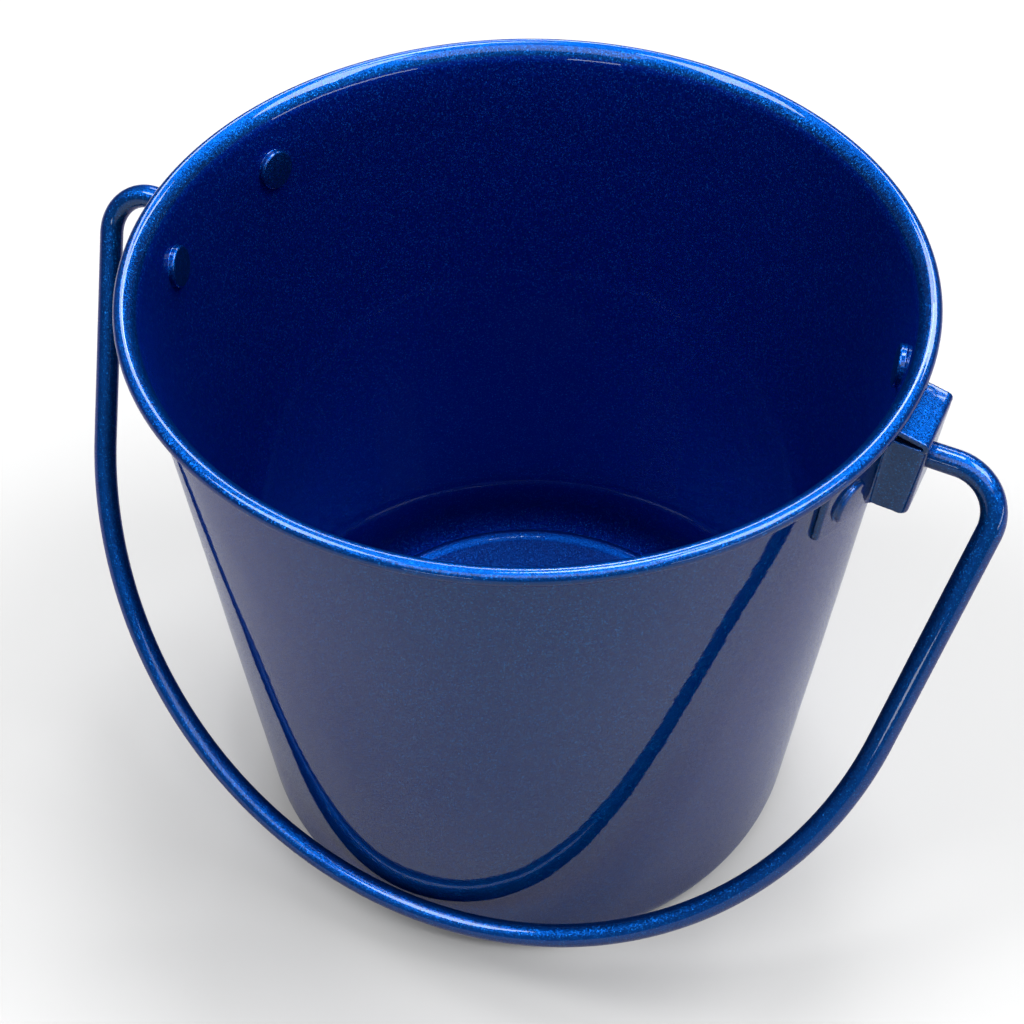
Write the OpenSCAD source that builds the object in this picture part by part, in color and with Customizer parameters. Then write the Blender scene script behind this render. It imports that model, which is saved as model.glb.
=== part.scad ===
// Small enamel-style feed pail: a one-piece drawn shell with a rolled rim, two riveted ears
// and a wire bail that swings over the rim. The origin is the centre of the foot ring's plane,
// +Z is up, and the bail's pivot axis runs along X. At rest the bail leans on the front (-Y) wall.

/* [Pail] */
// Outside diameter of the rolled rim
rim_d = 160; // [150:1:170]
// Height of the rolled rim's centre above the ground
rim_z = 154; // [148:1:165]
// Thickness of the rolled rim
rim_thick = 3.2; // [3:0.1:3.6]
// Lean of the wall from the vertical, in degrees
wall_lean = 3.27; // [2.5:0.01:4]
// Thickness of the steel shell
sheet = 0.8; // [0.6:0.1:1]
// Radius of the round corner between wall and foot
corner_r = 14; // [11:0.5:16]
// Height of the raised bottom panel above the ground
panel_z = 9.6; // [6:0.1:11]

/* [Ears] */
// Width of the ear's raised box
ear_w = 16; // [14:0.5:18]
// Height of the ear
ear_h = 17.8; // [16:0.2:19]
// How far the box's outer face stands off the wall
ear_stand = 8.5; // [8:0.1:9.5]
// Thickness of the ear's steel
ear_sheet = 1.2; // [1:0.1:1.4]
// Half the length of the ear from one flange's end to the other's
ear_reach = 26.8; // [25:0.1:28]
// Depth of the ear's lower edge below the rim's centre
ear_drop = 23.2; // [23:0.1:24]
// How much higher a flange's lower edge is at its end than at the box
flange_rise = 5.3; // [0:0.1:6]
// Radius of a flange's corners
flange_corner = 1.4; // [1:0.1:2]
// Depth of the bail's pivot below the rim's centre
pivot_drop = 14; // [13:0.5:15]
// Rise of the ear's roof towards the wall, in degrees
roof_rise = 13; // [8:1:16]

/* [Rivets] */
// Angle around the pail between an ear's middle and its rivets
rivet_angle = 14.6; // [14:0.1:15.5]
// Depth of the rivets below the rim's centre
rivet_drop = 12.4; // [12:0.2:14]
// Diameter of a rivet's shank
shank_d = 4.8; // [4:0.2:5.2]
// Diameter of both rivet heads
head_d = 8.8; // [8:0.2:9.2]
// Height of the head inside the pail
inner_head = 1.5; // [1:0.1:2]
// Height of the head outside the pail
outer_head = 2.3; // [1.5:0.1:2.6]

/* [Bail] */
// Diameter of the bail's wire
wire_d = 5.1; // [4.5:0.1:5.3]
// Distance from the bail's middle to where its end starts to bend
bail_straight = 90.4; // [90:0.2:94]
// Radius of the bend beside each ear, to the wire's centre
bail_bend_r = 9.6; // [8:0.2:12]
// Angle of that bend, in degrees
bail_bend = 97.2; // [94:0.2:100]
// Length of the straight leg between the bend and the crown
bail_leg = 47.9; // [44:0.5:48]
// Diameter of the upset button on each end of the wire
button_d = 7.6; // [7:0.2:8.4]
// Length of that button along the wire
button_l = 2.2; // [2:0.1:2.6]
// Radial clearance between the wire and its hole in the ear
bail_clear = 0.1; // [0.05:0.01:0.1]
// How far the bail has slid towards the left ear within its end play
bail_slide = 1.4; // [0:0.1:1.4]
// Angle between the hanging bail and the vertical at rest, in degrees
bail_rest = 30.4; // [30.4:0.1:32]

/* [Hidden] */
$fn = 96;

paint = [0.04, 0.22, 0.62];
paint_dark = [0.03, 0.16, 0.48];
eps = 0.01;
film = 0.05;                        // paint film left between pieces that lie on each other
big = 200;                          // taller than the whole pail
drill_l = 12;                       // long enough to pass through every sheet that is drilled
arc_step = 10;                      // degrees between the points of a drawn arc
round_fn = 200;                     // facets of the pail's large circles
wire_fn = 48;                       // facets around the wire
bend_fn = 120;                      // facets along the wire's bends

slope = tan(wall_lean);
rim_r = rim_thick / 2;
rim_centre = [rim_d / 2 - rim_r, rim_z];
rim_overhang = 3.72;                // how far the rim stands out past the wall
wall_top_r = rim_d / 2 - rim_overhang;  // wall's outer radius at the rim's centre height
pivot_z = rim_z - pivot_drop;

// Outer radius of the wall at a height
function wall_r(z) = wall_top_r - slope * (rim_z - z);

// Points of an arc about [x, z] from angle a0 to a1
function arc(centre, r, a0, a1) =
    let (steps = ceil(abs(a1 - a0) / arc_step))
    [for (i = [0:steps]) let (a = a0 + (a1 - a0) * i / steps)
        [centre[0] + r * cos(a), centre[1] + r * sin(a)]];

function backwards(points) = [for (i = [len(points) - 1:-1:0]) points[i]];

// Foot: the corner's arc runs in under the wall and closes into a tight foot bend
foot_r = 3;
foot_flat = 1.5;
foot_tuck = 50;                     // angle from straight down at which the corner meets the foot
corner_centre_z = foot_r + (corner_r - foot_r) * cos(foot_tuck);
corner_centre = [wall_r(corner_centre_z) - corner_r / cos(wall_lean), corner_centre_z];
foot_centre = [corner_centre[0] + (corner_r - foot_r) * sin(foot_tuck), foot_r];
step_r = foot_centre[0] - foot_flat - foot_r;
panel_bend_r = 1.6;

// Lip: a wide arc leads from the wall into the roll
lip_deg = 130;
roll_end = -145;
lip_gap = (rim_centre[0] - wall_top_r + sheet / cos(wall_lean)) * cos(wall_lean);
lip_turn = 180 - wall_lean - lip_deg;
lip_r = (lip_gap - rim_r * cos(lip_turn)) / (1 - cos(lip_turn));
lip_centre = [rim_centre[0] - (lip_r - rim_r) * cos(lip_deg),
              rim_centre[1] - (lip_r - rim_r) * sin(lip_deg)];

// One face of the sheet from the bottom's middle to the end of the roll.
// lift is 0 on the outer face of the shell and the sheet's thickness on the inner face.
function skin(lift) = concat(
    [[0, panel_z - sheet + lift]],
    arc([step_r - panel_bend_r, panel_z - sheet - panel_bend_r], panel_bend_r + lift, 90, 0),
    arc([foot_centre[0] - foot_flat, foot_r], foot_r - lift, 180, 270),
    arc(foot_centre, foot_r - lift, 270, 270 + foot_tuck),
    arc(corner_centre, corner_r - lift, 270 + foot_tuck, 360 - wall_lean),
    arc(lip_centre, lip_r - sheet + lift, 180 - wall_lean, lip_deg),
    arc(rim_centre, rim_r - sheet + lift, lip_deg, roll_end)
);

// Space bounded by the wall's cone, moved outwards by grow
module wall_cone(grow) {
    translate([0, 0, -big / 2])
        cylinder(h = 2 * big, r1 = wall_r(-big / 2) + grow, r2 = wall_r(1.5 * big) + grow,
                 $fn = round_fn);
}

// Turns a shape made with +Z as its axis to lie square through the wall at an angle around the pail
module through_wall(angle) {
    z = rim_z - rivet_drop;
    rotate([0, 0, angle])
        translate([wall_r(z), 0, z])
            rotate([0, 90 + wall_lean, 0])
                children();
}

module pail_body() {
    color(paint)
        difference() {
            rotate_extrude($fn = round_fn)
                polygon(concat(skin(0), backwards(skin(sheet))));
            for (side = [0, 180])
                for (turn = [-rivet_angle, rivet_angle])
                    through_wall(side + turn)
                        cylinder(h = drill_l, d = shank_d + 2 * film, center = true);
        }
}

ear_low = rim_z - ear_drop;
ear_high = ear_low + ear_h;
end_low = ear_low + flange_rise;
end_lean = atan(flange_rise / (ear_reach - ear_w / 2));
end_centre = ear_reach - flange_corner;

// Right half of the ear's blank seen along X, from the box's lower corner to its upper one
half_outline = concat(
    [[ear_w / 2, ear_low]],
    arc([end_centre, end_low + flange_corner], flange_corner, end_lean - 90, 0),
    arc([end_centre, ear_high - flange_corner], flange_corner, 0, 90),
    [[ear_w / 2, ear_high]]
);

// Outline of the ear's blank, its lower edges rising towards the flanges' ends
module ear_outline() {
    polygon(concat(half_outline, [for (point = backwards(half_outline)) [-point[0], point[1]]]));
}

// Turns a drawing made in the YZ plane to face along X
module along_x(from, length) {
    translate([from, 0, 0])
        rotate([90, 0, 90])
            linear_extrude(height = length)
                children();
}

// The two flanges, a band of the wall's own cone cut to the blank's outline
module ear_flanges() {
    intersection() {
        difference() {
            wall_cone(film + ear_sheet);
            wall_cone(film);
        }
        along_x(0, rim_d)
            difference() {
                ear_outline();
                translate([-ear_w / 2 + ear_sheet / 2, ear_low - eps])
                    square([ear_w - ear_sheet, ear_h + 2 * eps]);
            }
    }
}

// Box of the ear in a frame that leans with the wall, from the pivot's height on the wall's face.
// Its sides start inside the wall's cone and are trimmed to it afterwards.
module ear_box() {
    low = ear_low - pivot_z;
    root = 1;
    translate([wall_r(pivot_z), 0, pivot_z])
        rotate([0, wall_lean, 0])
            difference() {
                translate([-root, -ear_w / 2, low])
                    cube([ear_stand + root, ear_w, ear_h]);
                translate([-2 * root, -ear_w / 2 + ear_sheet, low - ear_h / 2])
                    cube([ear_stand + 2 * root - ear_sheet, ear_w - 2 * ear_sheet, 2 * ear_h]);
            }
}

// Roof tab, folded in over the box round a bend at the top of its outer face
module ear_roof() {
    wall_gap = 0.8;
    lap = 0.2;
    roof_l = ear_stand - ear_sheet - wall_gap;
    translate([wall_r(ear_high) + ear_stand - ear_sheet, 0, ear_high - lap])
        rotate([0, roof_rise, 0]) {
            translate([-roof_l, -ear_w / 2, 0])
                cube([roof_l, ear_w, ear_sheet]);
            rotate([90, 0, 0])
                cylinder(h = ear_w, r = ear_sheet, center = true);
        }
}

// Ear on the +X side
module ear() {
    difference() {
        union() {
            ear_flanges();
            difference() {
                union() {
                    ear_box();
                    ear_roof();
                }
                wall_cone(film + eps);
            }
        }
        translate([wall_r(pivot_z) + ear_stand / 2, 0, pivot_z])
            rotate([0, 90, 0])
                cylinder(h = drill_l, d = wire_d + 2 * bail_clear);
        for (turn = [-rivet_angle, rivet_angle])
            through_wall(turn)
                cylinder(h = drill_l, d = shank_d + 2 * film, center = true);
    }
}

module ear_right() {
    color(paint_dark)
        ear();
}

module ear_left() {
    color(paint_dark)
        rotate([0, 0, 180])
            ear();
}

// Rivet through wall and flange. Each head's blank starts below its seat and is trimmed to the
// curved face that it sits on, and the shank runs a little way into both heads.
module rivet(angle) {
    seat = 1;
    lap = 0.6;
    color(paint)
        union() {
            through_wall(angle)
                translate([0, 0, -sheet - lap])
                    cylinder(h = sheet + ear_sheet + 2 * lap, d = shank_d);
            intersection() {
                through_wall(angle)
                    translate([0, 0, -sheet - inner_head])
                        cylinder(h = inner_head + seat, d = head_d);
                wall_cone(-sheet / cos(wall_lean) - film);
            }
            difference() {
                through_wall(angle)
                    translate([0, 0, ear_sheet - seat])
                        cylinder(h = outer_head + seat, d = head_d);
                wall_cone(ear_sheet + 2 * film);
            }
        }
}

module rivet_right_front() { rivet(-rivet_angle); }
module rivet_right_back() { rivet(rivet_angle); }
module rivet_left_front() { rivet(180 + rivet_angle); }
module rivet_left_back() { rivet(180 - rivet_angle); }

// Bail, drawn hanging straight down in the XZ plane with its pivot axis on the X axis
bend_over = bail_bend - 90;         // how far each leg leans in past the vertical
bend_centre = [bail_straight, -bail_bend_r];
leg_start = bend_centre + bail_bend_r * [cos(bend_over), -sin(bend_over)];
leg_end = leg_start + bail_leg * [-sin(bend_over), -cos(bend_over)];
crown_r = leg_end[0] / cos(bend_over);
crown_z = leg_end[1] + crown_r * sin(bend_over);
button_play = 1.7;                  // between a button and the ear's outer face, bail centred
button_face = wall_r(pivot_z) + ear_stand - ear_sheet - button_play;

// Bending draws the wire a little thinner, so each bend's ends sit inside the straight stretches
thinning = 0.1;
drawn_d = wire_d - thinning;
sunk = 0.2;

// Wire swept round an arc in the XZ plane, its ends sunk into the straights beyond
module wire_arc(centre, r, from, turn) {
    extra = sunk / r * 180 / PI;
    translate([centre[0], 0, centre[1]])
        rotate([90, 0, 0])
            rotate([0, 0, from - extra])
                rotate_extrude(angle = turn + 2 * extra, $fn = bend_fn)
                    translate([r, 0])
                        circle(d = drawn_d, $fn = wire_fn);
}

// One side of the bail: upset button, pivot pin, bend and straight leg
module bail_side() {
    translate([button_face - button_l / 2, 0, 0])
        rotate([0, 90, 0])
            cylinder(h = bail_straight - button_face + button_l / 2, d = wire_d, $fn = wire_fn);
    translate([button_face - button_l, 0, 0])
        rotate([0, 90, 0])
            cylinder(h = button_l, d = button_d, $fn = wire_fn);
    wire_arc(bend_centre, bail_bend_r, -bend_over, bail_bend);
    translate([leg_start[0], 0, leg_start[1]])
        rotate([0, 180 + bend_over, 0])
            cylinder(h = bail_leg, d = wire_d, $fn = wire_fn);
}

module bail() {
    color(paint)
        translate([-bail_slide, 0, pivot_z])
            rotate([-bail_rest, 0, 0])
                union() {
                    bail_side();
                    mirror([1, 0, 0])
                        bail_side();
                    wire_arc([0, crown_z], crown_r, bend_over - 180, 180 - 2 * bend_over);
                }
}

pail_body();
ear_left();
ear_right();
rivet_left_front();
rivet_left_back();
rivet_right_front();
rivet_right_back();
bail();
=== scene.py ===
"""Small feed pail in candy-blue metal-flake paint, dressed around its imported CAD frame.

Every piece is built in metres in the frame's own axes: +Z up, the bail's pivot axis along X,
and the bail leaning on the front (-Y) side at rest.
"""

import logging
import math
from dataclasses import dataclass, field
from enum import Enum
from typing import Callable, Sequence

import bmesh
import bpy
from mathutils import Matrix, Vector

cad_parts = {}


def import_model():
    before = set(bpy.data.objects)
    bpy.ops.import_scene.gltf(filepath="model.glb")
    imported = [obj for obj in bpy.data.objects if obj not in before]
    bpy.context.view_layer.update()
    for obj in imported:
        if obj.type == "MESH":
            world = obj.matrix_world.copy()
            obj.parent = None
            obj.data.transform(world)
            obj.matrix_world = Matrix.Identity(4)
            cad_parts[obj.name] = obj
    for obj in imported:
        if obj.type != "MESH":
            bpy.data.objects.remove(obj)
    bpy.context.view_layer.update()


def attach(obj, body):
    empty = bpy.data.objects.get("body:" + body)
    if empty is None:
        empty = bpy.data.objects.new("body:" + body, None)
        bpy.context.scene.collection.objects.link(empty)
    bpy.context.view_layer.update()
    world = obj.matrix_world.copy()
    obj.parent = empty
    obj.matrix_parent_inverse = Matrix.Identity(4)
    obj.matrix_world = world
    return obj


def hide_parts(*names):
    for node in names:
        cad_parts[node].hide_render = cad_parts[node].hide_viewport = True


LOG = logging.getLogger("feed_pail")
MM = 0.001
# Point attribute for painted shade inside the pail, which darkens the tint to navy there.
INSIDE_SHADE = "inside"
# Point attribute for painted shade: it darkens the tint on steep and hanging faces.
SIDE_SHADE = "sag"
SIDE_SHADE_SLOPE = 1.6
POINT_RADIUS = 1e-9
NEUTRAL = 0.5

Point2 = tuple[float, float]
Colour = tuple[float, float, float, float]


class Side(Enum):
    """Which ear of the pail a piece belongs to, by the sign of X there."""

    RIGHT = 1
    LEFT = -1


class Flank(Enum):
    """Which flange of an ear a rivet holds, by the sign of Y there."""

    FRONT = -1
    BACK = 1


def arc(centre: Point2, radius: float, start: float, end: float, steps: int) -> list[Point2]:
    """Points along a circular arc.

    Args:
        centre: Centre of the arc.
        radius: Radius of the arc.
        start: Angle of the first point, in degrees.
        end: Angle of the last point, in degrees.
        steps: Number of stretches between the points.

    Returns:
        The points, both ends included.
    """
    angles = [math.radians(start + (end - start) * i / steps) for i in range(steps + 1)]
    return [(centre[0] + radius * math.cos(a), centre[1] + radius * math.sin(a)) for a in angles]


def line(start: Point2, end: Point2, steps: int) -> list[Point2]:
    """Points strictly between two points, evenly spaced.

    Args:
        start: First end of the line.
        end: Second end of the line.
        steps: Number of stretches the line is cut into.

    Returns:
        The points between the ends, without the ends themselves.
    """
    return [
        (start[0] + (end[0] - start[0]) * i / steps, start[1] + (end[1] - start[1]) * i / steps)
        for i in range(1, steps)
    ]


def new_object(name: str, mesh: bmesh.types.BMesh, smooth: bool = True) -> bpy.types.Object:
    """Turns a bmesh into a linked object with outward normals.

    Args:
        name: Name of the new object.
        mesh: The mesh to use, freed afterwards.
        smooth: Whether its faces are shaded smooth.

    Returns:
        The new object.
    """
    bmesh.ops.recalc_face_normals(mesh, faces=mesh.faces)
    data = bpy.data.meshes.new(name)
    mesh.to_mesh(data)
    mesh.free()
    if smooth:
        data.shade_smooth()
    piece = bpy.data.objects.new(name, data)
    bpy.context.scene.collection.objects.link(piece)
    return piece


def mark_side_shade(data: bpy.types.Mesh) -> None:
    """Marks the steep and hanging faces, whose tint is darkened there as painted shade.

    Args:
        data: The mesh to mark.
    """
    mark = data.attributes.new(SIDE_SHADE, "FLOAT", "POINT")
    for vertex, value in zip(data.vertices, mark.data):
        value.value = max(0.0, min(1.0, 1.0 - SIDE_SHADE_SLOPE * vertex.normal.z))


def revolve(
    mesh: bmesh.types.BMesh,
    profile: Sequence[Point2],
    steps: int,
    place: Callable[[float, float, float], Vector],
    closed: bool,
) -> None:
    """Adds a surface of revolution to a mesh.

    Args:
        mesh: The mesh to add to.
        profile: Radius and height of each ring; a radius of 0 becomes a single point.
        steps: Number of steps around.
        place: Gives a vertex's position from its radius, angle in radians and height.
        closed: Whether the last ring joins the first.
    """
    rings = []
    for radius, height in profile:
        count = 1 if radius < POINT_RADIUS else steps
        angles = [math.tau * i / steps for i in range(count)]
        rings.append([mesh.verts.new(place(radius, angle, height)) for angle in angles])
    pairs = list(zip(rings, rings[1:]))
    if closed:
        pairs.append((rings[-1], rings[0]))
    for low, high in pairs:
        if len(low) == 1 and len(high) == 1:
            continue
        for i in range(steps):
            j = (i + 1) % steps
            below = [low[i % len(low)], low[j % len(low)]]
            above = [high[j % len(high)], high[i % len(high)]]
            mesh.faces.new(list(dict.fromkeys(below + above)))


def prism(
    mesh: bmesh.types.BMesh, outline: Sequence[Point2], low: float, high: float, place: Matrix
) -> None:
    """Adds a straight prism over a flat outline.

    Args:
        mesh: The mesh to add to.
        outline: Corners of the outline in the local XY plane.
        low: Local height of the lower face.
        high: Local height of the upper face.
        place: Turns local positions into the frame's.
    """
    rings = [[mesh.verts.new(place @ Vector((x, y, z))) for x, y in outline] for z in (low, high)]
    mesh.faces.new(rings[0])
    mesh.faces.new(rings[1])
    count = len(outline)
    for i in range(count):
        j = (i + 1) % count
        mesh.faces.new((rings[0][i], rings[0][j], rings[1][j], rings[1][i]))


@dataclass(frozen=True)
class CandyPaint:
    """Candy-blue lacquer: tinted metal flake under a smooth, slightly wavy clear coat.

    Painted shade darkens its tint on steep and hanging faces, and a darker navy painted shade
    fills the inside of the pail; a mesh marks both with point attributes.
    """

    name: str
    tint: Colour = (0.0006, 0.040, 0.215, 1.0)
    thin_tint: Colour = (0.0010, 0.061, 0.300, 1.0)
    # Painted shade: the darker tint for steep and hanging faces.
    side_shade_tint: Colour = (0.0004, 0.034, 0.109, 1.0)
    # Painted shade: the darker navy tint for the inside of the pail.
    inside_shade_tint: Colour = (0.0004, 0.018, 0.250, 1.0)
    glint_tint: Colour = (0.02, 0.32, 0.90, 1.0)
    edge_tint: Colour = (0.02, 0.18, 0.60, 1.0)
    roughness: float = 0.42
    deep_roughness: float = 0.55
    unevenness: float = 0.05
    flake: float = 0.21 * MM
    flake_tilt: float = 0.42
    glitter: float = 0.24
    glitter_share: float = 0.12
    cloud: float = 9.0 * MM
    cloud_detail: float = 3.0
    peel: float = 2.4 * MM
    peel_detail: float = 1.0
    peel_height: float = 0.010 * MM
    coat: float = 0.58
    coat_roughness: float = 0.03
    coat_ior: float = 1.5

    def build(self) -> bpy.types.Material:
        """Makes the paint's material.

        Returns:
            The node material.
        """
        material = bpy.data.materials.new(self.name)
        material.use_nodes = True
        tree = material.node_tree
        nodes, links = tree.nodes, tree.links
        nodes.clear()
        output = nodes.new("ShaderNodeOutputMaterial")
        shader = nodes.new("ShaderNodeBsdfPrincipled")
        shader.inputs["Metallic"].default_value = 1.0
        shader.inputs["Specular Tint"].default_value = self.edge_tint
        shader.inputs["Coat Weight"].default_value = self.coat
        shader.inputs["Coat Roughness"].default_value = self.coat_roughness
        shader.inputs["Coat IOR"].default_value = self.coat_ior
        links.new(shader.outputs["BSDF"], output.inputs["Surface"])
        place = nodes.new("ShaderNodeTexCoord").outputs["Object"]
        flakes = nodes.new("ShaderNodeTexVoronoi")
        flakes.inputs["Scale"].default_value = 1.0 / self.flake
        links.new(place, flakes.inputs["Vector"])
        self._dress_colour(tree, shader, place, flakes)
        self._dress_flakes(tree, shader, flakes)
        self._dress_coat(tree, shader, place)
        return material

    def _mix(
        self,
        tree: bpy.types.NodeTree,
        share: bpy.types.NodeSocket,
        low: bpy.types.NodeSocket | Colour,
        high: bpy.types.NodeSocket | Colour,
    ) -> bpy.types.NodeSocket:
        """Blends two colours.

        Args:
            tree: The material's node tree.
            share: Socket that gives the share of the second colour.
            low: First colour, or the socket that gives it.
            high: Second colour, or the socket that gives it.

        Returns:
            The socket with the blended colour.
        """
        blend = tree.nodes.new("ShaderNodeMix")
        blend.data_type = "RGBA"
        tree.links.new(share, blend.inputs[0])
        for slot, colour in ((6, low), (7, high)):
            if isinstance(colour, bpy.types.NodeSocket):
                tree.links.new(colour, blend.inputs[slot])
            else:
                blend.inputs[slot].default_value = colour
        return blend.outputs[2]

    def _dress_colour(
        self,
        tree: bpy.types.NodeTree,
        shader: bpy.types.Node,
        place: bpy.types.NodeSocket,
        flakes: bpy.types.Node,
    ) -> None:
        """Clouds the tint, paints shade onto steep faces and the inside, and lets a few flakes
        glint.

        Args:
            tree: The material's node tree.
            shader: The surface shader.
            place: Socket that gives the position on the object.
            flakes: The cell texture whose cells are the flakes.
        """
        nodes, links = tree.nodes, tree.links
        cloud = nodes.new("ShaderNodeTexNoise")
        cloud.inputs["Scale"].default_value = 1.0 / self.cloud
        cloud.inputs["Detail"].default_value = self.cloud_detail
        links.new(place, cloud.inputs["Vector"])
        sag, inside = nodes.new("ShaderNodeAttribute"), nodes.new("ShaderNodeAttribute")
        sag.attribute_name, inside.attribute_name = SIDE_SHADE, INSIDE_SHADE
        thin = self._mix(tree, cloud.outputs["Fac"], self.tint, self.thin_tint)
        # Painted shade: a darker tint on steep and hanging faces.
        side_shaded = self._mix(tree, sag.outputs["Fac"], thin, self.side_shade_tint)
        # Painted shade: a darker navy inside the pail.
        inside_shaded = self._mix(tree, inside.outputs["Fac"], side_shaded, self.inside_shade_tint)
        split = nodes.new("ShaderNodeSeparateColor")
        links.new(flakes.outputs["Color"], split.inputs["Color"])
        sparkle = nodes.new("ShaderNodeMapRange")
        sparkle.inputs["From Min"].default_value = 1.0 - self.glitter_share
        sparkle.inputs["From Max"].default_value = 1.0
        sparkle.inputs["To Max"].default_value = self.glitter
        links.new(split.outputs["Blue"], sparkle.inputs["Value"])
        glint = self._mix(tree, sparkle.outputs["Result"], inside_shaded, self.glint_tint)
        links.new(glint, shader.inputs["Base Color"])
        even = nodes.new("ShaderNodeMapRange")
        even.inputs["To Min"].default_value = self.roughness
        even.inputs["To Max"].default_value = self.deep_roughness
        links.new(inside.outputs["Fac"], even.inputs["Value"])
        dull = nodes.new("ShaderNodeMath")
        dull.operation = "MULTIPLY_ADD"
        dull.inputs[1].default_value = self.unevenness
        links.new(cloud.outputs["Fac"], dull.inputs[0])
        links.new(even.outputs["Result"], dull.inputs[2])
        links.new(dull.outputs["Value"], shader.inputs["Roughness"])

    def _dress_flakes(
        self, tree: bpy.types.NodeTree, shader: bpy.types.Node, flakes: bpy.types.Node
    ) -> None:
        """Tilts each flake its own way under the clear coat.

        Args:
            tree: The material's node tree.
            shader: The surface shader.
            flakes: The cell texture whose cells are the flakes.
        """
        nodes, links = tree.nodes, tree.links
        centre = nodes.new("ShaderNodeVectorMath")
        centre.operation = "SUBTRACT"
        centre.inputs[1].default_value = (NEUTRAL, NEUTRAL, NEUTRAL)
        links.new(flakes.outputs["Color"], centre.inputs[0])
        tilt = nodes.new("ShaderNodeVectorMath")
        tilt.operation = "SCALE"
        tilt.inputs["Scale"].default_value = self.flake_tilt
        links.new(centre.outputs["Vector"], tilt.inputs[0])
        geometry = nodes.new("ShaderNodeNewGeometry")
        lean = nodes.new("ShaderNodeVectorMath")
        lean.operation = "ADD"
        links.new(geometry.outputs["Normal"], lean.inputs[0])
        links.new(tilt.outputs["Vector"], lean.inputs[1])
        unit = nodes.new("ShaderNodeVectorMath")
        unit.operation = "NORMALIZE"
        links.new(lean.outputs["Vector"], unit.inputs[0])
        links.new(unit.outputs["Vector"], shader.inputs["Normal"])

    def _dress_coat(
        self, tree: bpy.types.NodeTree, shader: bpy.types.Node, place: bpy.types.NodeSocket
    ) -> None:
        """Gives the clear coat its faint orange peel.

        Args:
            tree: The material's node tree.
            shader: The surface shader.
            place: Socket that gives the position on the object.
        """
        nodes, links = tree.nodes, tree.links
        peel = nodes.new("ShaderNodeTexNoise")
        peel.inputs["Scale"].default_value = 1.0 / self.peel
        peel.inputs["Detail"].default_value = self.peel_detail
        links.new(place, peel.inputs["Vector"])
        bump = nodes.new("ShaderNodeBump")
        bump.inputs["Strength"].default_value = 1.0
        bump.inputs["Distance"].default_value = self.peel_height
        links.new(peel.outputs["Fac"], bump.inputs["Height"])
        links.new(bump.outputs["Normal"], shader.inputs["Coat Normal"])


@dataclass(frozen=True)
class PaleFloor:
    """Plain matt floor."""

    name: str = "pale_floor"
    colour: Colour = (0.44, 0.395, 0.38, 1.0)
    roughness: float = 0.9
    shine: float = 0.1

    def build(self) -> bpy.types.Material:
        """Makes the floor's material.

        Returns:
            The node material.
        """
        material = bpy.data.materials.new(self.name)
        material.use_nodes = True
        shader = material.node_tree.nodes["Principled BSDF"]
        shader.inputs["Base Color"].default_value = self.colour
        shader.inputs["Roughness"].default_value = self.roughness
        shader.inputs["Specular IOR Level"].default_value = self.shine
        return material


@dataclass
class Wall:
    """The pail wall's outer cone, which the shell, ears and rivets share."""

    rim_height: float = 154.0 * MM
    top_radius: float = 76.28 * MM
    lean: float = math.radians(3.27)
    sheet: float = 0.8 * MM

    def radius(self, height: float) -> float:
        """Outer radius of the wall at a height."""
        return self.top_radius - math.tan(self.lean) * (self.rim_height - height)

    def holds(self, spot: Vector) -> bool:
        """Whether a spot lies on the pail's inner side of the middle of the sheet."""
        return math.hypot(spot.x, spot.y) < self.radius(spot.z) - self.sheet / 2

    def place(self, angle: float, height: float) -> Vector:
        """Position on the wall's outer face at an angle around the pail."""
        radius = self.radius(height)
        return Vector((radius * math.cos(angle), radius * math.sin(angle), height))

    def square(self, angle: float, height: float) -> Matrix:
        """Frame on the wall whose Z axis stands square to it, pointing outwards."""
        turn = Matrix.Rotation(angle, 4, "Z") @ Matrix.Rotation(math.pi / 2 + self.lean, 4, "Y")
        return Matrix.Translation(self.place(angle, height)) @ turn


@dataclass(frozen=True)
class Wave:
    """One faint wave that runs around the sheet: its share, its count and how it slants."""

    share: float
    count: int
    slant: float
    start: float

    def at(self, angle: float, height: float) -> float:
        """The wave's rise at an angle around the pail and a share of its height."""
        return self.share * math.sin(self.count * angle + self.slant * height + self.start)


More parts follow.
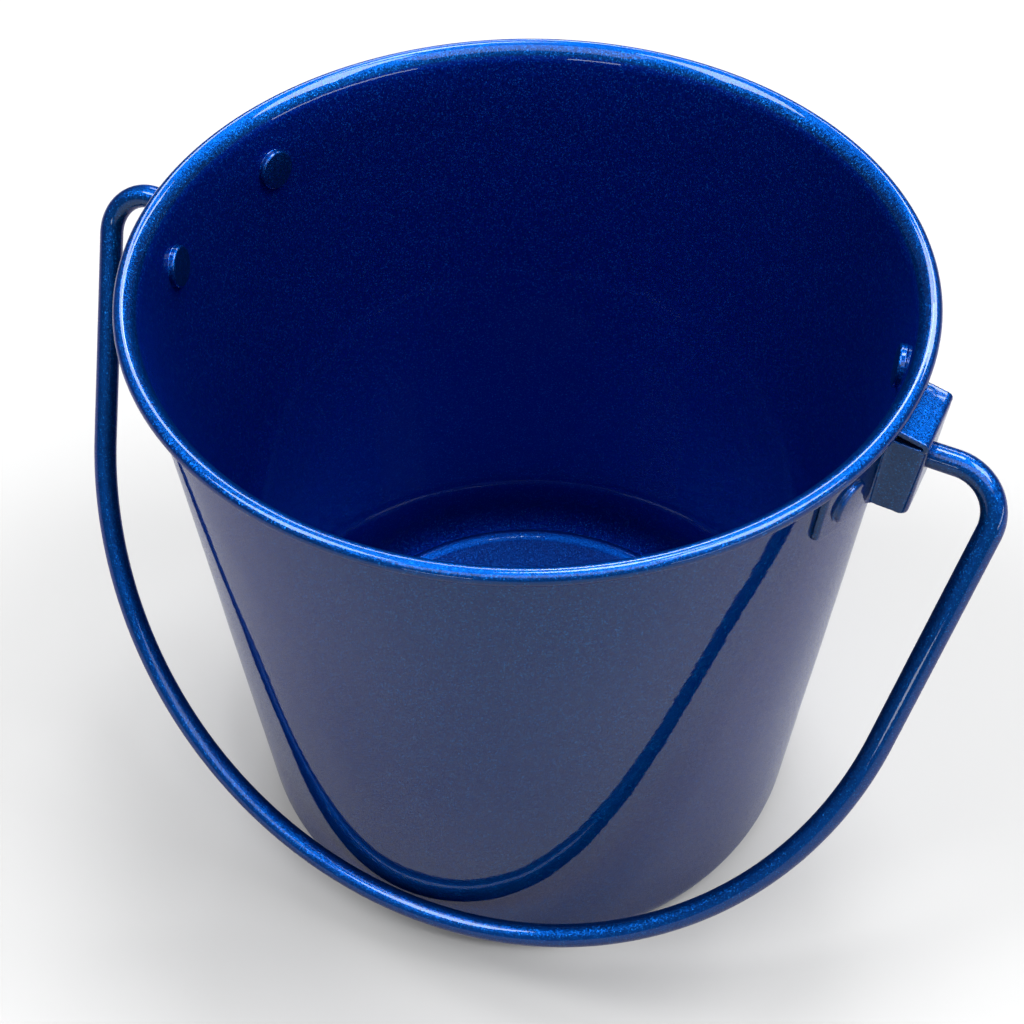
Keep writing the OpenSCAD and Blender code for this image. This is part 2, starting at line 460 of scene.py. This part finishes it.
@dataclass
class PailShell:
    """The drawn shell: raised bottom panel, foot, round corner, leaning wall and rolled rim."""

    wall: Wall
    rim_radius: float = 80.0 * MM
    roll: float = 1.6 * MM
    corner: float = 14.0 * MM
    foot: float = 3.0 * MM
    foot_flat: float = 1.5 * MM
    foot_tuck: float = 50.0
    panel_height: float = 9.6 * MM
    panel_bend: float = 1.6 * MM
    panel_dip: float = 0.55 * MM
    panel_lip: float = 2.8 * MM
    lip_angle: float = 130.0
    roll_end: float = -158.0
    around: int = 320
    panel_steps: tuple[int, int] = (8, 12)
    rise_steps: int = 10
    step_steps: int = 5
    tight_steps: int = 12
    outer_steps: int = 8
    corner_steps: int = 18
    side_steps: int = 40
    mouth_steps: int = 12
    curl_steps: int = 26
    ripple: float = 0.05 * MM
    waves: tuple[Wave, ...] = (
        Wave(1.0, 3, 0.0, 0.7),
        Wave(0.6, 7, 9.0, 2.1),
        Wave(0.45, 13, -14.0, 0.0),
        Wave(0.3, 22, 31.0, 0.0),
    )
    calm_low: float = 4.0
    calm_high: float = 12.0
    dent: float = 0.14 * MM
    dent_width: float = 6.5 * MM
    dent_reach: float = 3.0
    # Painted shade inside: start below the rim, fade, and the small share left on the lit raised
    # panel.
    inside_shade_drop: float = -0.5 * MM
    inside_shade_fade: float = 2.0 * MM
    panel_inside_shade: float = 0.15
    rivets: list[Point2] = field(default_factory=list)

    def _corner_at(self) -> Point2:
        """Centre of the round corner between the wall and the foot."""
        height = self.foot + (self.corner - self.foot) * math.cos(math.radians(self.foot_tuck))
        return (self.wall.radius(height) - self.corner / math.cos(self.wall.lean), height)

    def _foot_at(self) -> Point2:
        """Centre of the foot's outer round."""
        step = (self.corner - self.foot) * math.sin(math.radians(self.foot_tuck))
        return (self._corner_at()[0] + step, self.foot)

    def panel_edge(self) -> float:
        """Radius at which the bottom's raised panel starts to bend down."""
        return self._foot_at()[0] - self.foot_flat - self.foot - self.panel_bend

    def _panel(self, height: float) -> list[Point2]:
        """The raised panel, dished by panel_dip inside a lip round its edge.

        Args:
            height: Height of the lip.

        Returns:
            Radius and height of each ring, without the edge's own.
        """
        flat, sloped = self.panel_steps
        start = self.panel_edge() - self.panel_lip
        radii = [start * i / flat for i in range(flat)]
        radii += [start + self.panel_lip * i / sloped for i in range(sloped)]
        panel = []
        for radius in radii:
            share = max(0.0, (radius - start) / self.panel_lip)
            ease = 1 - share * share * (3 - 2 * share)
            panel.append((radius, height - self.panel_dip * ease))
        return panel

    def skin(self, lift: float) -> list[Point2]:
        """One face of the sheet, from the middle of the bottom to the free edge of the roll.

        Args:
            lift: 0 for the shell's outer face, the sheet's thickness for its inner face.

        Returns:
            Radius and height of each ring.
        """
        wall = self.wall
        lean = math.degrees(wall.lean)
        corner_at, foot_at = self._corner_at(), self._foot_at()
        inner_at = (foot_at[0] - self.foot_flat, self.foot)
        under = self.panel_height - wall.sheet
        bend_at = (self.panel_edge(), under - self.panel_bend)
        roll_at = (self.rim_radius - self.roll, wall.rim_height)
        gap = (roll_at[0] - wall.top_radius) * math.cos(wall.lean) + wall.sheet
        turn = math.radians(180.0 - lean - self.lip_angle)
        lip = (gap - self.roll * math.cos(turn)) / (1 - math.cos(turn))
        lip_way = math.radians(self.lip_angle)
        lip_at = (
            roll_at[0] - (lip - self.roll) * math.cos(lip_way),
            roll_at[1] - (lip - self.roll) * math.sin(lip_way),
        )
        rolled = lift - wall.sheet
        tucked = 270 + self.foot_tuck
        panel = self._panel(under + lift)
        rise = arc(bend_at, self.panel_bend + lift, 90, 0, self.rise_steps)
        tight = arc(inner_at, self.foot - lift, 180, 270, self.tight_steps)
        outer = arc(foot_at, self.foot - lift, 270, tucked, self.outer_steps)
        corner = arc(corner_at, self.corner - lift, tucked, 360 - lean, self.corner_steps)
        mouth = arc(lip_at, lip + rolled, 180 - lean, self.lip_angle, self.mouth_steps)
        curl = arc(roll_at, self.roll + rolled, self.lip_angle, self.roll_end, self.curl_steps)
        step = line(rise[-1], tight[0], self.step_steps)
        side = line(corner[-1], mouth[0], self.side_steps)
        return panel + rise + step + tight + outer + corner[1:] + side + mouth + curl[1:]

    def place(self, radius: float, angle: float, height: float) -> Vector:
        """Where a point of the shell lies once the sheet's faint waves and dents are in.

        Args:
            radius: The point's radius on the perfect shell.
            angle: Its angle around the pail, in radians.
            height: Its height.

        Returns:
            Its position.
        """
        share = height / self.wall.rim_height
        low = max(0.0, min(1.0, self.calm_low * share))
        high = max(0.0, min(1.0, self.calm_high * (1 - share)))
        shift = self.ripple * sum(wave.at(angle, share) for wave in self.waves) * low * high
        for turn, rivet_height in self.rivets:
            away = (angle - turn + math.pi) % math.tau - math.pi
            span = math.hypot(away * radius, height - rivet_height) / self.dent_width
            if radius > self.rim_radius / 2 and span < self.dent_reach:
                shift -= self.dent * math.exp(-span * span)
        radius += shift
        return Vector((radius * math.cos(angle), radius * math.sin(angle), height))

    def build(self, paint: bpy.types.Material) -> bpy.types.Object:
        """Builds the shell.

        Args:
            paint: Its finish.

        Returns:
            The finished piece.
        """
        mesh = bmesh.new()
        outer = self.skin(0.0)
        inner = self.skin(self.wall.sheet)
        revolve(mesh, outer + inner[::-1], self.around, self.place, False)
        shell = new_object("pail_shell", mesh)
        shell.data.materials.append(paint)
        self._mark_inside_shade(shell.data)
        return shell

    def _mark_inside_shade(self, data: bpy.types.Mesh) -> None:
        """Marks the inside of the pail for its painted shade, a darker navy tint.

        Args:
            data: The shell's mesh.
        """
        mark = data.attributes.new(INSIDE_SHADE, "FLOAT", "POINT")
        lip = self.wall.rim_height - self.inside_shade_drop
        low = self.panel_height - self.panel_bend - self.wall.sheet
        reach = self.panel_edge() + self.panel_bend + self.wall.sheet
        for vertex, value in zip(data.vertices, mark.data):
            spot = vertex.co
            if vertex.normal.z > 0 and self.wall.holds(spot):
                value.value = max(0.0, min(1.0, (lip - spot.z) / self.inside_shade_fade))
            # The raised panel gets only a little painted shade, so it shows lighter, as if the
            # light fell on it.
            if vertex.normal.z > 0 and spot.z > low and math.hypot(spot.x, spot.y) < reach:
                value.value = self.panel_inside_shade


@dataclass
class Ear:
    """A pressed ear: two flanges on the wall, a box that stands off it and a folded roof tab."""

    wall: Wall
    side: Side
    width: float = 16.0 * MM
    low: float = 130.8 * MM
    high: float = 148.6 * MM
    stand: float = 8.5 * MM
    sheet: float = 1.2 * MM
    reach: float = 26.8 * MM
    pivot_height: float = 140.0 * MM
    corner: float = 1.2 * MM
    end_rise: float = 5.3 * MM
    film: float = -0.12 * MM
    overcoat: float = 0.05 * MM
    flange_steps: tuple[int, int] = (26, 18)
    flange_crowding: float = 1.6
    bend: float = 1.7 * MM
    bend_steps: tuple[int, int] = (8, 4)
    root: float = 0.35 * MM
    fillet: float = 1.7 * MM
    fillet_steps: int = 7
    fillet_back: float = 0.6 * MM
    fillet_lap: float = 0.4 * MM
    roof_rise: float = math.radians(13.0)
    roof_short: float = 0.8 * MM
    roof_gap: float = 0.4 * MM
    roof_back: float = 7.3 * MM
    roof_lap: float = 0.2 * MM
    roof_soft: float = 1.6 * MM
    roof_soft_steps: int = 6
    fold_start: float = -60.0
    fold_steps: int = 10
    hole: float = 2.65 * MM
    hole_steps: int = 64
    drill_start: float = 3.0 * MM
    drill_length: float = 12.0 * MM
    voxel: float = 0.22 * MM
    smoothing: int = 8
    smoothing_pull: float = 0.5

    def _flange(self, mesh: bmesh.types.BMesh, way: int) -> None:
        """Adds one flange, a band of the wall's cone with rounded outer corners.

        Args:
            mesh: The mesh to add to.
            way: Sign of Y on this flange.
        """
        along, across = self.flange_steps
        start = self.width / 2 - self.sheet / 2
        grids = []
        for lift in (self.film, self.sheet + self.overcoat):
            grid = []
            for i in range(along + 1):
                y = start + (self.reach - start) * (1 - (1 - i / along) ** self.flange_crowding)
                past = max(0.0, y - (self.reach - self.corner))
                inset = self.corner - math.sqrt(max(0.0, self.corner**2 - past**2))
                taper = max(0.0, (y - self.width / 2) / (self.reach - self.width / 2))
                rise = self.end_rise * taper
                low, high = self.low + rise + inset, self.high - inset
                column = []
                for j in range(across + 1):
                    height = low + (high - low) * j / across
                    radius = self.wall.radius(height) + lift / math.cos(self.wall.lean)
                    x = math.sqrt(radius**2 - y**2)
                    column.append(mesh.verts.new((x, way * y, height)))
                grid.append(column)
            grids.append(grid)
        under, over = grids
        for i in range(along):
            for j in range(across):
                for grid in grids:
                    near, far = grid[i], grid[i + 1]
                    mesh.faces.new((near[j], far[j], far[j + 1], near[j + 1]))
            for j in (0, across):
                mesh.faces.new((under[i][j], under[i + 1][j], over[i + 1][j], over[i][j]))
        for i in (0, along):
            for j in range(across):
                mesh.faces.new((under[i][j], under[i][j + 1], over[i][j + 1], over[i][j]))

    def _box(self, mesh: bmesh.types.BMesh) -> None:
        """Adds the box: two sides and an outer face bent round from one strip.

        Args:
            mesh: The mesh to add to.
        """
        half = self.width / 2
        out, inner = self.bend, self.bend - self.sheet
        fine, coarse = self.bend_steps
        root = self.root
        corner_x = self.stand - out
        outline = [(-root, -half)]
        outline += arc((corner_x, -half + out), out, -90, 0, fine)
        outline += arc((corner_x, half - out), out, 0, 90, fine)
        outline += [(-root, half), (-root, half - self.sheet)]
        outline += arc((corner_x, half - out), inner, 90, 0, coarse)
        outline += arc((corner_x, -half + out), inner, 0, -90, coarse)
        outline += [(-root, -half + self.sheet)]
        prism(mesh, outline, self.low - self.pivot_height, self.side_top(), self._lean())

    def _fillets(self, mesh: bmesh.types.BMesh) -> None:
        """Adds the soft inside bend where each side of the box turns out into its flange.

        Args:
            mesh: The mesh to add to.
        """
        size, half = self.fillet, self.width / 2
        drop = self.wall.radius(self.pivot_height)
        foot = math.sqrt(drop**2 - (half + size) ** 2) - drop + self.sheet
        for way in (-1, 1):
            back, lap = foot - self.fillet_back, half - self.fillet_lap
            bow = arc((foot + size, half + size), size, 180, 270, self.fillet_steps)
            outline = [(back, lap), (back, half + size)] + bow + [(foot + size, lap)]
            flat = [(x, way * y) for x, y in outline]
            prism(mesh, flat, self.low - self.pivot_height, self.side_top(), self._lean())

    def side_top(self) -> float:
        """Height of the box's side walls above the pivot, which leaves a gap under the roof."""
        return self.high - self.roof_gap - self.pivot_height

    def _roof(self, mesh: bmesh.types.BMesh) -> None:
        """Adds the roof tab, folded in over the box and rising towards the wall.

        Args:
            mesh: The mesh to add to.
        """
        half = self.width / 2
        length = self.stand - self.sheet - self.roof_short
        edge = self.wall.radius(self.high) + self.stand - self.sheet
        place = Matrix.Translation((edge, 0, self.high - self.roof_lap))
        place = place @ Matrix.Rotation(self.roof_rise, 4, "Y")
        soft = self.roof_soft
        tab = [(-length, -half), (0.0, -half), (0.0, self.roof_back)]
        tab += arc((-length + soft, self.roof_back - soft), soft, 90, 180, self.roof_soft_steps)
        prism(mesh, tab, 0.0, self.sheet, place)
        fold = arc((0.0, 0.0), self.sheet, self.fold_start, 90, self.fold_steps) + [(0.0, 0.0)]
        stand_up = place @ Matrix.Rotation(math.pi / 2, 4, "X")
        prism(mesh, fold, -self.roof_back, half, stand_up)

    def _lean(self) -> Matrix:
        """Frame on the wall at the pivot's height, leaning with the wall."""
        foot = Vector((self.wall.radius(self.pivot_height), 0, self.pivot_height))
        return Matrix.Translation(foot) @ Matrix.Rotation(self.wall.lean, 4, "Y")

    def build(self, paint: bpy.types.Material) -> bpy.types.Object:
        """Builds the ear, its edges rounded by the paint and its pin hole cut.

        Args:
            paint: Its finish.

        Returns:
            The finished piece.
        """
        mesh = bmesh.new()
        for way in (-1, 1):
            self._flange(mesh, way)
        self._box(mesh)
        self._fillets(mesh)
        self._roof(mesh)
        name = f"ear_{self.side.name.lower()}_pressed"
        ear = new_object(name, mesh)
        cutter = self._pin_hole()
        remesh = ear.modifiers.new("paint_over", "REMESH")
        remesh.mode = "VOXEL"
        remesh.voxel_size = self.voxel
        soften = ear.modifiers.new("soften", "SMOOTH")
        soften.factor = self.smoothing_pull
        soften.iterations = self.smoothing
        drill = ear.modifiers.new("drill", "BOOLEAN")
        drill.operation = "DIFFERENCE"
        drill.object = cutter
        apply_modifiers(ear)
        bpy.data.objects.remove(cutter)
        if self.side is Side.LEFT:
            ear.data.transform(Matrix.Rotation(math.pi, 4, "Z"))
        ear.data.shade_smooth()
        ear.data.materials.clear()
        ear.data.materials.append(paint)
        return ear

    def _pin_hole(self) -> bpy.types.Object:
        """Makes the cutter for the hole that the bail's pin turns in.

        Returns:
            The cutter, a round bar along X.
        """
        mesh = bmesh.new()
        start = self.wall.radius(self.pivot_height) + self.drill_start
        ring = arc((0.0, 0.0), self.hole, 0, 360, self.hole_steps)[:-1]
        place = Matrix.Translation((start, 0, self.pivot_height))
        place = place @ Matrix.Rotation(math.pi / 2, 4, "Y")
        prism(mesh, ring, 0.0, self.drill_length, place)
        return new_object("pin_hole", mesh, smooth=False)


def apply_modifiers(piece: bpy.types.Object) -> None:
    """Bakes a piece's modifiers into its mesh.

    Args:
        piece: The piece to bake.
    """
    bpy.context.view_layer.update()
    graph = bpy.context.evaluated_depsgraph_get()
    data = bpy.data.meshes.new_from_object(piece.evaluated_get(graph))
    piece.modifiers.clear()
    old, piece.data = piece.data, data
    bpy.data.meshes.remove(old)


@dataclass
class Rivet:
    """A rivet through wall and flange, with a flat button head on each side."""

    wall: Wall
    side: Side
    flank: Flank
    angle: float = math.radians(14.6)
    height: float = 141.6 * MM
    shank: float = 2.35 * MM
    head: float = 4.4 * MM
    inner_head: float = 1.5 * MM
    outer_head: float = 2.3 * MM
    flange: float = 1.25 * MM
    sink: float = 0.7 * MM
    skirt: float = 0.35 * MM
    skirt_steps: int = 5
    outer_round: float = 0.75 * MM
    inner_round: float = 0.55 * MM
    round_steps: int = 8
    crown: float = 0.12 * MM
    crown_rings: tuple[float, ...] = (0.66, 0.33, 0.0)
    squash: float = 0.02
    # Share of the painted side shade kept on the inner head, so that head shows lighter.
    inner_side_shade: float = 0.35
    around: int = 72

    def turn(self) -> float:
        """Angle of the rivet around the pail, in radians."""
        base = 0.0 if self.side is Side.RIGHT else math.pi
        return base + self.angle * self.flank.value * self.side.value

    def _head(self, seat: float, top: float, round_edge: float) -> list[Point2]:
        """Profile of a head from its seat to the middle of its face.

        Args:
            seat: Height at which the head meets the sheet.
            top: Height of its face.
            round_edge: Radius of the edge round its face.

        Returns:
            Radius and height of each ring.
        """
        way = 1.0 if top > seat else -1.0
        sink, skirt = seat - way * self.sink, self.skirt
        flat = self.head - round_edge
        profile = [(self.shank, sink), (self.head + skirt, sink), (self.head + skirt, seat)]
        bow = arc((self.head + skirt, skirt), skirt, -90, -180, self.skirt_steps)
        edge = arc((flat, abs(top - seat) - round_edge), round_edge, 0, 90, self.round_steps)
        profile += [(r, seat + way * h) for r, h in bow[1:] + edge]
        profile += [(flat * s, top + way * self.crown * (1 - s * s)) for s in self.crown_rings]
        return profile

    def build(self, paint: bpy.types.Material) -> bpy.types.Object:
        """Builds the rivet.

        Args:
            paint: Its finish.

        Returns:
            The finished piece.
        """
        mesh = bmesh.new()
        seat = -self.wall.sheet
        outer = self._head(self.flange, self.outer_head, self.outer_round)
        inner = self._head(seat, seat - self.inner_head, self.inner_round)
        stand = self.wall.square(self.turn(), self.height)

        def place(radius: float, angle: float, height: float) -> Vector:
            """Position of a ring's point, with the head a touch out of round."""
            wide = radius * (1.0 + self.squash * math.sin(2 * angle + 1.0))
            return stand @ Vector((wide * math.cos(angle), radius * math.sin(angle), height))

        revolve(mesh, inner[::-1] + outer, self.around, place, False)
        name = f"rivet_{self.side.name.lower()}_{self.flank.name.lower()}_set"
        rivet = new_object(name, mesh)
        rivet.data.materials.append(paint)
        mark_side_shade(rivet.data)
        # Painted shade: the inner head keeps only part of it, so it shows lighter.
        for vertex, value in zip(rivet.data.vertices, rivet.data.attributes[SIDE_SHADE].data):
            if self.wall.holds(vertex.co):
                value.value *= self.inner_side_shade
        return rivet

    def node(self) -> str:
        """Name of the CAD node this rivet stands for."""
        return f"rivet_{self.side.name.lower()}_{self.flank.name.lower()}"


@dataclass
class Bail:
    """The wire bail: upset buttons, pins, bends, straight legs and one round crown."""

    pivot_height: float = 140.0 * MM
    wire: float = 2.55 * MM
    straight: float = 90.4 * MM
    bend: float = 9.6 * MM
    bend_angle: float = 97.2
    leg: float = 47.9 * MM
    button: float = 3.8 * MM
    button_length: float = 2.2 * MM
    button_face: float = 81.08 * MM
    slide: float = 1.4 * MM
    rest: float = math.radians(30.4)
    button_soft: float = 0.6 * MM
    button_core: float = 0.4
    button_steps: int = 5
    pin_steps: int = 6
    bend_steps: int = 28
    leg_steps: int = 16
    crown_steps: int = 90
    around: int = 40
    flatten: float = 0.035

    def _half(self) -> list[tuple[float, float, float]]:
        """Centre line of the right half from the pin to the crown's top.

        Returns:
            X, distance below the pivot axis, and how bent the wire is there, for each point.
        """
        over = self.bend_angle - 90.0
        lean = math.radians(over)
        face = (self.button_face, 0.0)
        pin = [face] + line(face, (self.straight, 0.0), self.pin_steps)
        turn = arc((self.straight, -self.bend), self.bend, 90, -over, self.bend_steps)
        leg_end = (
            turn[-1][0] - self.leg * math.sin(lean),
            turn[-1][1] - self.leg * math.cos(lean),
        )
        crown = leg_end[0] / math.cos(lean)
        crown_at = (0.0, leg_end[1] + crown * math.sin(lean))
        sweep = arc(crown_at, crown, -over, -90, self.crown_steps)
        path = [(x, z, 0.0) for x, z in pin]
        path += [(x, z, math.sin(math.pi * i / self.bend_steps)) for i, (x, z) in enumerate(turn)]
        path += [(x, z, 0.0) for x, z in line(turn[-1], leg_end, self.leg_steps)]
        path += [(x, z, 0.0) for x, z in sweep]
        return path

    def _frame(self) -> Matrix:
        """Places the bail, drawn hanging in the XZ plane, at rest on the front wall."""
        place = Matrix.Translation((-self.slide, 0, self.pivot_height))
        return place @ Matrix.Rotation(-self.rest, 4, "X")

    def build(self, paint: bpy.types.Material) -> bpy.types.Object:
        """Builds the bail.

        Args:
            paint: Its finish.

        Returns:
            The finished piece.
        """
        half = self._half()
        path = half[:-1] + [(-x, z, b) for x, z, b in reversed(half)]
        mesh = bmesh.new()
        place = self._frame()
        rings = []
        for i, (x, z, bent) in enumerate(path):
            before, after = path[max(0, i - 1)], path[min(len(path) - 1, i + 1)]
            along = Vector((after[0] - before[0], 0, after[1] - before[1])).normalized()
            across = Vector((along.z, 0, -along.x))
            ring = []
            for k in range(self.around):
                a = math.tau * k / self.around
                lift = across * math.cos(a) * self.wire * (1 - self.flatten * bent)
                lift += Vector((0, 1, 0)) * math.sin(a) * self.wire * (1 + self.flatten * bent / 2)
                ring.append(mesh.verts.new(place @ (Vector((x, 0, z)) + lift)))
            rings.append(ring)
        for low, high in zip(rings, rings[1:]):
            for k in range(self.around):
                j = (k + 1) % self.around
                mesh.faces.new((low[k], low[j], high[j], high[k]))
        for way, ring in ((1, rings[0]), (-1, rings[-1])):
            self._button(mesh, ring, way, place)
        bail = new_object("bail_wire", mesh)
        bail.data.materials.append(paint)
        return bail

    def _button(
        self, mesh: bmesh.types.BMesh, ring: list[bmesh.types.BMVert], way: int, place: Matrix
    ) -> None:
        """Closes one end of the wire with its upset button.

        Args:
            mesh: The mesh to add to.
            ring: The wire's last ring of vertices.
            way: Sign of X at this end.
            place: The bail's frame.
        """
        soft, steps = self.button_soft, self.button_steps
        profile = [(self.button - soft, 0.0)]
        profile += arc((self.button - soft, soft), soft, -90, 0, steps)[1:]
        profile += arc((self.button - soft, self.button_length - soft), soft, 0, 90, steps)
        profile += [(self.button * self.button_core, self.button_length)]
        last = ring
        for radius, depth in profile:
            new = []
            for k in range(self.around):
                a = math.tau * k / self.around
                x = way * (self.button_face - depth)
                spot = Vector((x, math.sin(a) * radius, -way * math.cos(a) * radius))
                new.append(mesh.verts.new(place @ spot))
            for k in range(self.around):
                j = (k + 1) % self.around
                mesh.faces.new((last[k], last[j], new[j], new[k]))
            last = new
        mesh.faces.new(last)


@dataclass(frozen=True)
class SoftBox:
    """A rectangular soft light; its angles are in degrees, seen from the pail with +Y away."""

    name: str
    turn: float
    height: float
    width: float
    length: float
    radiance: float
    distance: float = 1.3
    colour: tuple[float, float, float] = (0.86, 0.96, 1.0)


@dataclass
class Studio:
    """Plain pale floor, soft light and the camera."""

    floor_size: float = 6.0
    floor_drop: float = 0.05 * MM
    camera_distance: float = 312.76 * MM
    camera_elevation: float = math.radians(39.544)
    camera_pitch: float = math.radians(48.364)
    camera_yaw: float = math.radians(-0.833)
    camera_roll: float = math.radians(-0.808)
    camera_turn: float = math.radians(26.681)
    lens: float = 55.53
    aim_height: float = 154.0 * MM
    clip_start: float = 0.01
    air: float = 0.08
    boxes: tuple[SoftBox, ...] = (
        SoftBox("zenith_box", 60.0, 76.0, 0.34, 0.34, 26.0),
        SoftBox("top_left_box", 188.0, 58.0, 0.55, 0.60, 17.0),
        SoftBox("top_right_box", -10.0, 58.0, 0.55, 0.60, 17.0),
        SoftBox("back_strip", 66.0, 40.6, 0.90, 0.15, 18.0),
        SoftBox("back_left_box", 99.0, 38.0, 0.50, 0.33, 13.0),
        SoftBox("front_box", -90.0, 55.0, 1.20, 0.60, 3.0),
        SoftBox("front_right_strip", -35.0, 7.0, 1.10, 0.10, 9.0),
        SoftBox("front_left_strip", -110.0, 8.0, 0.36, 0.10, 9.0),
    )

    def build(self, finish: PaleFloor) -> None:
        """Lays the floor, hangs the lights and sets the camera.

        Args:
            finish: The floor's finish.
        """
        self._floor(finish)
        self._lights()
        self._camera()

    def _floor(self, finish: PaleFloor) -> None:
        """Lays a plain floor that runs well past the view.

        Args:
            finish: The floor's finish.
        """
        mesh = bmesh.new()
        bmesh.ops.create_grid(mesh, x_segments=2, y_segments=2, size=self.floor_size / 2)
        bmesh.ops.translate(mesh, vec=(0, 0, -self.floor_drop), verts=mesh.verts)
        floor = new_object("floor", mesh, smooth=False)
        floor.data.materials.append(finish.build())

    def _soft_box(self, box: SoftBox) -> None:
        """Hangs one rectangular soft light that faces the pail.

        Args:
            box: Where it hangs, how large and how bright it is.
        """
        out, up = math.cos(math.radians(box.height)), math.sin(math.radians(box.height))
        turn = math.radians(box.turn) + self.camera_turn
        target = Vector((0, 0, self.aim_height / 2))
        at = target + box.distance * Vector((math.cos(turn) * out, math.sin(turn) * out, up))
        data = bpy.data.lights.new(box.name, "AREA")
        data.shape = "RECTANGLE"
        data.size, data.size_y = box.width, box.length
        data.energy = box.radiance * math.pi * box.width * box.length
        data.color = box.colour
        lamp = bpy.data.objects.new(box.name, data)
        lamp.location = at
        lamp.rotation_euler = (target - at).to_track_quat("-Z", "Y").to_euler()
        bpy.context.scene.collection.objects.link(lamp)

    def _lights(self) -> None:
        """Hangs the soft boxes in a dim room."""
        for box in self.boxes:
            self._soft_box(box)
        world = bpy.data.worlds.new("studio_air")
        world.use_nodes = True
        air = world.node_tree.nodes["Background"]
        air.inputs["Color"].default_value = (1.0, 1.0, 1.0, 1.0)
        air.inputs["Strength"].default_value = self.air
        bpy.context.scene.world = world
        bpy.context.scene.view_settings.view_transform = "Standard"

    def _camera(self) -> None:
        """Sets the camera at the pail's viewing angle."""
        out, up = math.cos(self.camera_elevation), math.sin(self.camera_elevation)
        place = Vector((0, -self.camera_distance * out, self.camera_distance * up))
        pitch, yaw = self.camera_pitch, self.camera_yaw
        level_step = math.cos(pitch)
        ahead = Vector((math.sin(yaw) * level_step, math.cos(yaw) * level_step, -math.sin(pitch)))
        right = Vector((math.cos(yaw), -math.sin(yaw), 0))
        over = right.cross(ahead)
        sway, tip = math.cos(self.camera_roll), math.sin(self.camera_roll)
        level = right * sway + over * tip
        crown = over * sway - right * tip
        turn = Matrix.Rotation(self.camera_turn, 4, "Z")
        axes = Matrix((level, crown, -ahead)).transposed().to_4x4()
        data = bpy.data.cameras.new("camera")
        data.lens = self.lens
        data.clip_start = self.clip_start
        camera = bpy.data.objects.new("camera", data)
        stand = Matrix.Translation(place + Vector((0, 0, self.aim_height)))
        camera.matrix_world = turn @ stand @ axes
        bpy.context.scene.collection.objects.link(camera)
        bpy.context.scene.camera = camera


def settle(piece: bpy.types.Object, body: str, node: str) -> None:
    """Hands a finished piece to the frame.

    Args:
        piece: The piece.
        body: The CAD body it rides on.
        node: The CAD node it stands for.
    """
    # Paints shade onto the steep and hanging faces of every piece that has none yet.
    if SIDE_SHADE not in piece.data.attributes:
        mark_side_shade(piece.data)
    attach(piece, body)
    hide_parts(node)
    LOG.info("%s rides on %s for %s: %d faces", piece.name, body, node, len(piece.data.polygons))


def main() -> None:
    """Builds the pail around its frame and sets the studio."""
    logging.basicConfig(level=logging.INFO, format="%(name)s: %(message)s")
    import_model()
    shell_paint = CandyPaint("shell_candy_blue").build()
    ear_paint = CandyPaint("ear_candy_blue").build()
    rivet_paint = CandyPaint("rivet_candy_blue").build()
    bail_paint = CandyPaint("bail_candy_blue").build()
    wall = Wall()
    rivets = [Rivet(wall, side, flank) for side in Side for flank in Flank]
    shell = PailShell(wall, rivets=[(rivet.turn(), rivet.height) for rivet in rivets])
    settle(shell.build(shell_paint), "pail", "pail_body")
    for side in Side:
        settle(Ear(wall, side).build(ear_paint), "pail", f"ear_{side.name.lower()}")
    for rivet in rivets:
        settle(rivet.build(rivet_paint), "pail", rivet.node())
    settle(Bail().build(bail_paint), "bail", "bail")
    Studio().build(PaleFloor())


if __name__ == "__main__":
    main()
